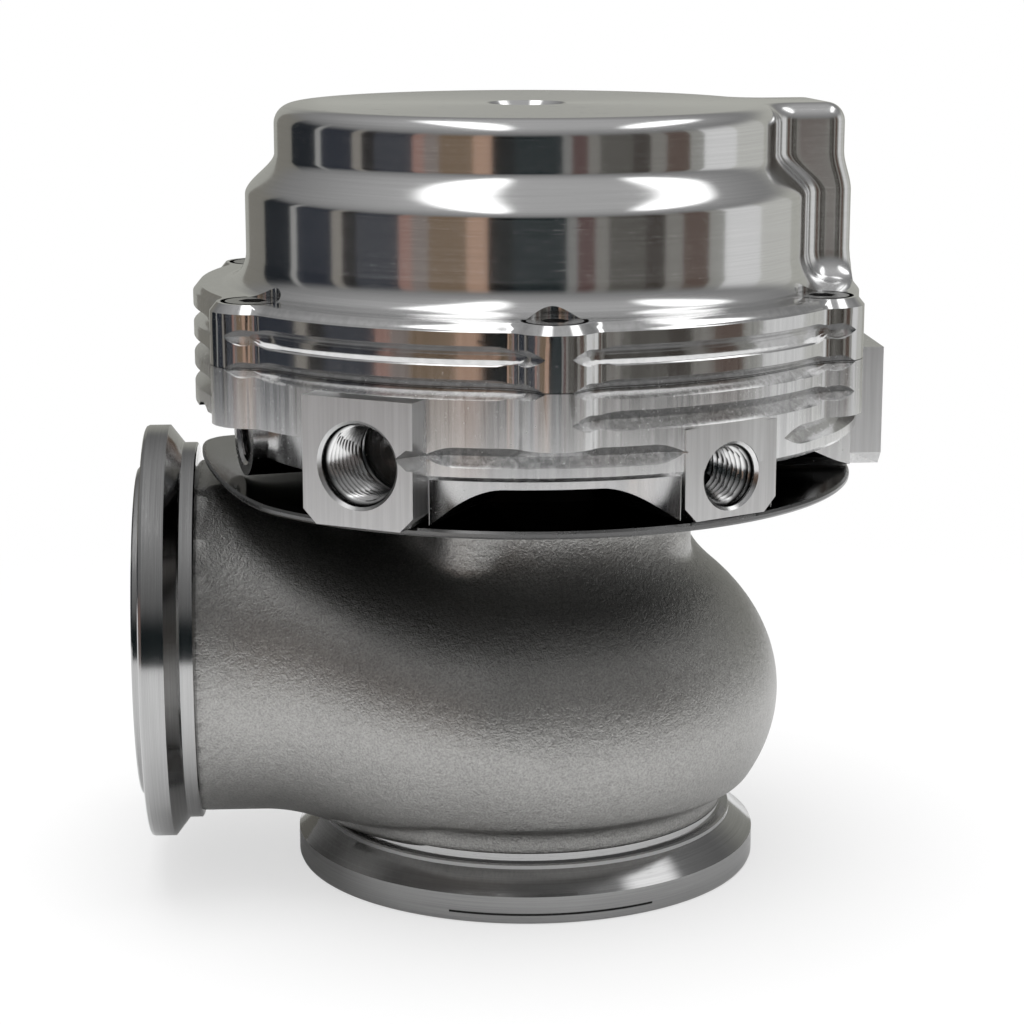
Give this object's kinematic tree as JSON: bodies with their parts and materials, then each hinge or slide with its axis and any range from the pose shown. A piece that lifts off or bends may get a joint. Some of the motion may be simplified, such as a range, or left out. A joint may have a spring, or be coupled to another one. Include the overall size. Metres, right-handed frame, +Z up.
{
  "type": "turbo wastegate",
  "caption": "Diaphragm-actuated poppet valve with a cast right-angle body, V-band inlet and outlet, sheet heat shield and a finned, stepped actuator.",
  "frame": {"origin": "centre of the inlet flange's face, on the valve's axis", "axes": "+Z up along the valve stem, away from the inlet pipe; the outlet leaves along -X; the front air and water ports face -Y"},
  "size_m": [0.1013, 0.0956, 0.1045],
  "materials": {
    "cast_steel": "bead-blasted cast stainless steel with polished flanges",
    "seat_steel": "ground",
    "bronze": "machined bronze",
    "shield_steel": "polished sheet",
    "base_aluminium": "bright machined",
    "seal_rubber": "moulded",
    "spring_steel": "phosphated spring steel",
    "screw_steel": "blackened alloy steel",
    "cap_aluminium": "polished with fine turning marks",
    "bright_screws": "stainless",
    "valve_steel": "ground stainless",
    "inner_aluminium": "machined",
    "diaphragm_rubber": "fabric-reinforced rubber",
    "spring_wire": "shot-peened wire"
  },
  "bodies": {
    "housing": {"valve_body": "cast_steel", "valve_seat": "seat_steel", "valve_guide": "bronze", "heat_shield": "shield_steel", "lower_housing": "base_aluminium", "rod_bushing": "bronze", "rod_seal": "seal_rubber", "seal_clip": "spring_steel", "body_screws": "screw_steel", "lock_washers": "spring_steel", "cap": "cap_aluminium", "cap_screws": "bright_screws", "outer_spring": "spring_wire", "middle_spring": "spring_wire", "inner_spring": "spring_wire"},
    "valve_stack": {"valve": "valve_steel", "diaphragm_plate": "inner_aluminium", "diaphragm": "diaphragm_rubber", "piston": "inner_aluminium", "stem_washer": "screw_steel", "stem_nut": "screw_steel"}
  },
  "joints": [
    {"name": "valve_lift", "type": "slide", "parent": "housing", "child": "valve_stack", "axis": [0, 0, 1], "range_m": [0, 0.012], "stiffness_N_per_m": 9000, "springref_m": -0.006, "deforming": ["outer_spring", "middle_spring", "inner_spring", "diaphragm"]}
  ]
}
